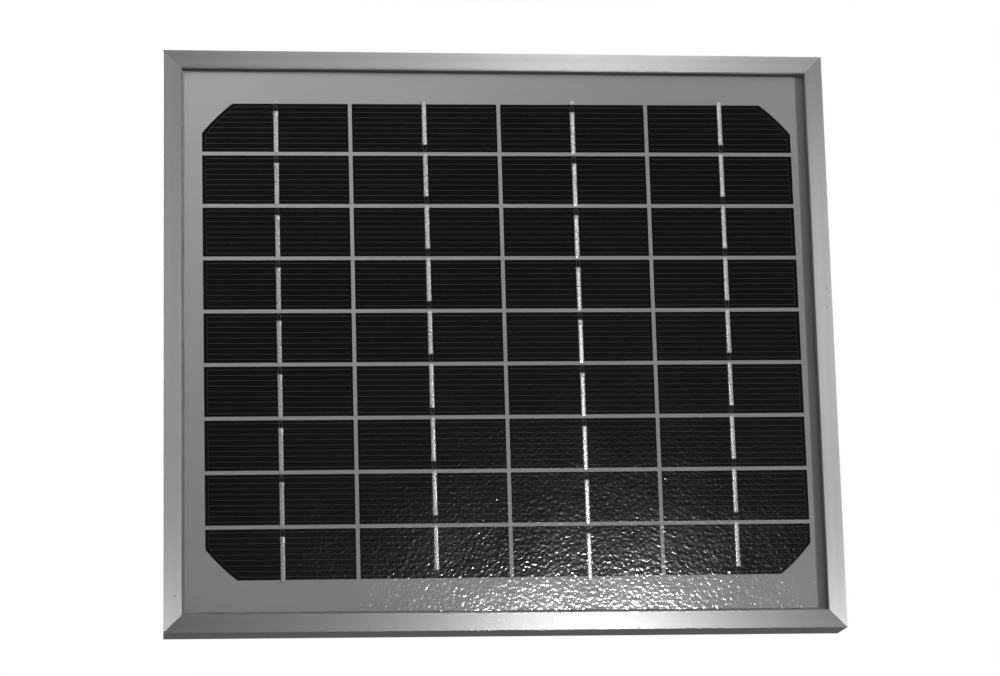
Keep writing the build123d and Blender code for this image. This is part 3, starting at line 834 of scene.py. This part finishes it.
def backsheet_relief(x, z):
    """The film sinks a little between the cells and rides up over the ribbons and the bus."""
    offset = Vector((x, 0, z)) - Vector((array_centre.x, 0, array_centre.z))
    u = offset.dot(across)
    v = offset.dot(upward)
    in_cells = smooth_step(column_u[-1] + cell_width / 2 - abs(u), -2 * MM, 1 * MM)
    in_cells *= smooth_step(array_top - abs(v), -2 * MM, 1 * MM)
    gap_u = min(abs(u - c - column_step.length / 2) for c in column_u)
    gap_v = min(abs(v - r - row_step.length / 2) for r in row_v)
    gap = max(1 - smooth_step(gap_u, 0.6 * MM, 2.4 * MM), 1 - smooth_step(gap_v, 0.6 * MM, 2.4 * MM))
    ribbon = 1 - smooth_step(min(abs(u - c) for c in column_u), 0.9 * MM, 2.3 * MM)
    ribbon *= smooth_step(array_top + 2 * MM - abs(v), -1 * MM, 1 * MM)
    buses = (
        (array_top - BUS_INSET, column_u[1], column_u[2]),
        (BUS_INSET - array_top, column_u[0], column_u[1]),
        (BUS_INSET - array_top, column_u[2], column_u[3]),
        (array_top - FAR_BUS_INSET, column_u[0], column_u[3]),
    )
    bus = 0.0
    for level, u_from, u_to in buses:
        along = smooth_step(min(u - u_from, u_to - u), -4 * MM, -1 * MM)
        bus = max(bus, along * (1 - smooth_step(abs(v - level), 1.8 * MM, 3.4 * MM)))
    ripple = RIPPLE * wavy(7, x, z, 26 * MM)
    return ripple + OVER_CELLS * in_cells * (1 - gap) + OVER_RIBBONS * ribbon + OVER_BUSES * bus - LET_IN


def build_backsheet(bm):
    """The film, with its relief on the rear."""
    sheet_mesh(bm, BACKSHEET_STEP, backsheet_front, backsheet_rear, backsheet_relief, "rear")


backsheet = new_piece("backsheet_film", build_backsheet)
dress(backsheet, backsheet_film)
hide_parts("backsheet")

# Junction box details ---------------------------------------------------------------------------

box_low, box_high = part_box("jbox_adhesive")
BOX_CORNER = 4.0 * MM
CORNER_STEPS = 6
ADHESIVE_INSET = 2.0 * MM
BOX_BEAD_STATION = 1.5 * MM
BOX_BEAD_WIDTH = 2.1 * MM
BOX_BEAD_CLIMB = 1.5 * MM
BOX_BEAD_TUCK = 1.5 * MM
BOX_BEAD_FOOT = 0.1 * MM
WALL_FOOT = 0.75 * MM
WALL_SLOPE = 0.05 * MM


def box_edge_path(step):
    """Places round the junction box's outline, each with its outward direction."""
    half_x = (box_high.x - box_low.x) / 2 + ADHESIVE_INSET
    half_z = (box_high.z - box_low.z) / 2 + ADHESIVE_INSET
    middle = (box_low + box_high) / 2
    places = []
    for quarter in range(4):
        sx = (1, -1, -1, 1)[quarter]
        sz = (1, 1, -1, -1)[quarter]
        corner = Vector((middle.x + sx * (half_x - BOX_CORNER), middle.z + sz * (half_z - BOX_CORNER)))
        for i in range(CORNER_STEPS + 1):
            angle = math.radians(90 * quarter + 90 / CORNER_STEPS * i)
            out = Vector((math.cos(angle), math.sin(angle)))
            places.append((corner + out * BOX_CORNER, out))
        span = 2 * (half_x - BOX_CORNER) if quarter % 2 == 0 else 2 * (half_z - BOX_CORNER)
        run = Vector((-out.y, out.x))
        count = round(span / step)
        for i in range(1, count):
            places.append((corner + out * BOX_CORNER + run * (span * i / count), out))
    return places


def build_box_bead(bm):
    """Sealant that was squeezed out round the box, from under its wall to a foot on the backsheet."""
    film_level = backsheet_rear - LET_IN
    rings = []
    for place, out in box_edge_path(BOX_BEAD_STATION):
        x, z = place
        width = BOX_BEAD_WIDTH * (1 + 0.3 * wavy(11, x, z, 13 * MM) + 0.1 * wavy(12, x, z, 3 * MM))
        climb = BOX_BEAD_CLIMB * (1 + 0.25 * wavy(13, x, z, 9 * MM))
        profile = [(-BOX_BEAD_TUCK, BOX_BEAD_FOOT), (-BOX_BEAD_TUCK, WALL_FOOT - WALL_SLOPE)]
        profile += [(0.0, WALL_FOOT), (0.0, climb)]
        profile += [(0.4 * width, 0.7 * climb), (0.85 * width, 0.3 * climb), (width, BOX_BEAD_FOOT)]
        rings.append([
            (x + out.x * reach, film_level + height, z + out.y * reach) for reach, height in profile
        ])
    loft(bm, rings, closed=True)


box_bead = new_piece("box_sealant_bead", build_box_bead)
dress(box_bead, box_sealant)

THREAD_PITCH = 1.5 * MM
THREAD_HEIGHT = 0.12 * MM
THREAD_STEPS = 32
THREAD_FOOT = 0.55 * MM
THREAD_CREST = 0.12 * MM
THREAD_SUNK = 0.2 * MM
THREAD_START = 0.4 * MM
THREAD_END_HEIGHT = 0.005 * MM
OUTLET_RADIUS = 5.0 * MM
OUTLET_LENGTH = 9.0 * MM


def build_thread(joint):
    """The function that fills a mesh with the low helical ridge on a cable outlet."""
    place = Vector(joint["pos_m"])
    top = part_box("gland_nut_left")[1].z + THREAD_START
    turns = int((OUTLET_LENGTH - 2 * THREAD_PITCH) / THREAD_PITCH)

    def build(bm):
        rings = []
        for i in range(turns * THREAD_STEPS + 1):
            angle = 2 * math.pi * i / THREAD_STEPS
            drop = THREAD_PITCH * i / THREAD_STEPS
            ends = min(i, turns * THREAD_STEPS - i) / (THREAD_STEPS / 4)
            height = THREAD_HEIGHT * min(1.0, ends) + THREAD_END_HEIGHT
            profile = [(-THREAD_FOOT, -THREAD_SUNK), (-THREAD_CREST, height)]
            profile += [(THREAD_CREST, height), (THREAD_FOOT, -THREAD_SUNK)]
            ring = []
            for lean, rise in profile:
                reach = OUTLET_RADIUS + rise
                x = place.x + reach * math.cos(angle)
                y = place.y + reach * math.sin(angle)
                ring.append((x, y, top - drop + lean))
            rings.append(ring)
        loft(bm, rings)

    return build


for joint in frame["joints"]:
    if joint["name"].endswith("_turn"):
        side = joint["name"].split("_")[1]
        thread = new_piece(f"outlet_thread_{side}", build_thread(joint))
        dress(thread, box_plastic)

# Floor, light and world -------------------------------------------------------------------------

FLOOR_RADIUS = 4.0
FLOOR_DROP = 0.27

floor_look = Look("floor")
floor_tone = floor_look.blend(floor_look.noise(3.0, detail=3.0), (0.78, 0.78, 0.775), (0.82, 0.82, 0.815))
pale_floor = floor_look.add("BsdfPrincipled", {
    "Base Color": floor_tone, "Roughness": 0.8, "Emission Color": (1, 1, 1, 1), "Emission Strength": 0.6,
}).outputs["BSDF"]
dim_floor = floor_look.add("BsdfDiffuse", {"Color": (0.12, 0.12, 0.12, 1)}).outputs["BSDF"]
seen = floor_look.add("LightPath").outputs["Is Camera Ray"]
# The floor is pale to look at, but throws little light back on the panel, as in a large dark studio.
floor_mix = floor_look.add("MixShader", {"Fac": seen, 1: dim_floor, 2: pale_floor})
floor_disc = bmesh.new()
bmesh.ops.create_circle(floor_disc, cap_ends=True, segments=96, radius=FLOOR_RADIUS)
for vertex in floor_disc.verts:
    vertex.co.z = cad_low.z - FLOOR_DROP
floor = mesh_object("floor", floor_disc)
dress(floor, floor_look.finish(floor_mix.outputs[0]))


def receivers(name, state):
    """A group for light linking: the glass alone (INCLUDE), or everything but the glass (EXCLUDE)."""
    group = bpy.data.collections.new(name)
    group.objects.link(glass)
    group.collection_objects[0].light_linking.link_state = state
    return group


glass_alone = receivers("glass_alone", "INCLUDE")
all_but_glass = receivers("all_but_glass", "EXCLUDE")


def area_light(name, place, aim, width, height, power, mirrored=True, on=None):
    """A rectangular light, turned from its place to a point. One that isn't mirrored leaves no glare."""
    data = bpy.data.lights.new(name, "AREA")
    data.shape = "RECTANGLE"
    data.size = width
    data.size_y = height
    data.energy = power
    light = bpy.data.objects.new(name, data)
    light.location = place
    light.rotation_euler = (Vector(aim) - Vector(place)).to_track_quat("-Z", "Y").to_euler()
    light.visible_camera = False
    light.visible_glossy = mirrored
    if on:
        light.light_linking.receiver_collection = on
    bpy.context.scene.collection.objects.link(light)


MIDDLE = (0, 0, 0)
UPPER_LEFT = (-0.1, 0, 0.1)
LOWER_EDGE = (0.04, 0, -0.14)
GLARE_PLACE = (0.25, -1.52, -0.03)
# The glass has no colour of its own to be lit, so the lights that it needn't mirror leave it out.
area_light("key", (1.09, -1.17, 0.15), MIDDLE, 0.1, 0.1, 11.5, mirrored=False, on=all_but_glass)
area_light("near_left", (-0.18, -0.25, 0.20), UPPER_LEFT, 0.08, 0.08, 0.42, mirrored=False, on=all_but_glass)
# The glare at the lower edge has its own strength on the glass, whose relief spreads it over more ground.
area_light("glare", GLARE_PLACE, LOWER_EDGE, 0.11, 0.05, 1.5, on=all_but_glass)
area_light("glass_glare", GLARE_PLACE, LOWER_EDGE, 0.15, 0.05, 9.0, on=glass_alone)
# Cards that the rails mirror.
area_light("card_top", (0.28, -1.9, 1.18), MIDDLE, 0.9, 0.3, 2.2)
area_light("card_right", (1.10, -1.8, 0.46), MIDDLE, 0.2, 0.44, 2.1)
area_light("card_left", (-0.85, -1.8, 0.56), MIDDLE, 0.2, 0.6, 1.0)
# Soft light for the back.
area_light("back_left", (-1.5, 1.7, 1.0), MIDDLE, 2.2, 1.8, 60.0, on=all_but_glass)
area_light("back_right", (1.6, 1.5, 0.7), MIDDLE, 1.8, 1.8, 36.0, on=all_but_glass)

# The world is white to look at, and dim as a light.
world = bpy.data.worlds.new("studio")
bpy.context.scene.world = world
world.use_nodes = True
tree = world.node_tree
tree.nodes.clear()
paths = tree.nodes.new("ShaderNodeLightPath")
dim = tree.nodes.new("ShaderNodeBackground")
dim.inputs["Color"].default_value = (0.07, 0.07, 0.072, 1)
pale = tree.nodes.new("ShaderNodeBackground")
pale.inputs["Color"].default_value = (1, 1, 1, 1)
either = tree.nodes.new("ShaderNodeMixShader")
world_output = tree.nodes.new("ShaderNodeOutputWorld")
tree.links.new(paths.outputs["Is Camera Ray"], either.inputs[0])
tree.links.new(dim.outputs[0], either.inputs[1])
tree.links.new(pale.outputs[0], either.inputs[2])
tree.links.new(either.outputs[0], world_output.inputs["Surface"])

# Camera -----------------------------------------------------------------------------------------

CAMERA_AIM = Vector((-0.0007, -0.01915, 0.0002))
CAMERA_DISTANCE = 1.6853
CAMERA_AZIMUTH = math.radians(-6.384)
CAMERA_ELEVATION = math.radians(-12.745)
CAMERA_ROLL = math.radians(-1.345)
CAMERA_LENS = 114.55
CAMERA_SENSOR = 36.0

camera_data = bpy.data.cameras.new("camera")
camera_data.sensor_width = CAMERA_SENSOR
camera_data.lens = CAMERA_LENS
camera_data.clip_start = 0.05
camera_data.clip_end = 20.0
camera = bpy.data.objects.new("camera", camera_data)
bpy.context.scene.collection.objects.link(camera)
back = Vector((
    math.sin(CAMERA_AZIMUTH) * math.cos(CAMERA_ELEVATION),
    -math.cos(CAMERA_AZIMUTH) * math.cos(CAMERA_ELEVATION),
    math.sin(CAMERA_ELEVATION),
))
level_right = Vector((0, 0, 1)).cross(back).normalized()
level_up = back.cross(level_right)
right = level_right * math.cos(CAMERA_ROLL) + level_up * math.sin(CAMERA_ROLL)
up = back.cross(right)
camera.matrix_world = Matrix((
    (right.x, up.x, back.x, CAMERA_AIM.x + back.x * CAMERA_DISTANCE),
    (right.y, up.y, back.y, CAMERA_AIM.y + back.y * CAMERA_DISTANCE),
    (right.z, up.z, back.z, CAMERA_AIM.z + back.z * CAMERA_DISTANCE),
    (0, 0, 0, 1),
))
bpy.context.scene.camera = camera
bpy.context.scene.view_settings.view_transform = "Standard"
bpy.context.scene.view_settings.look = "None"
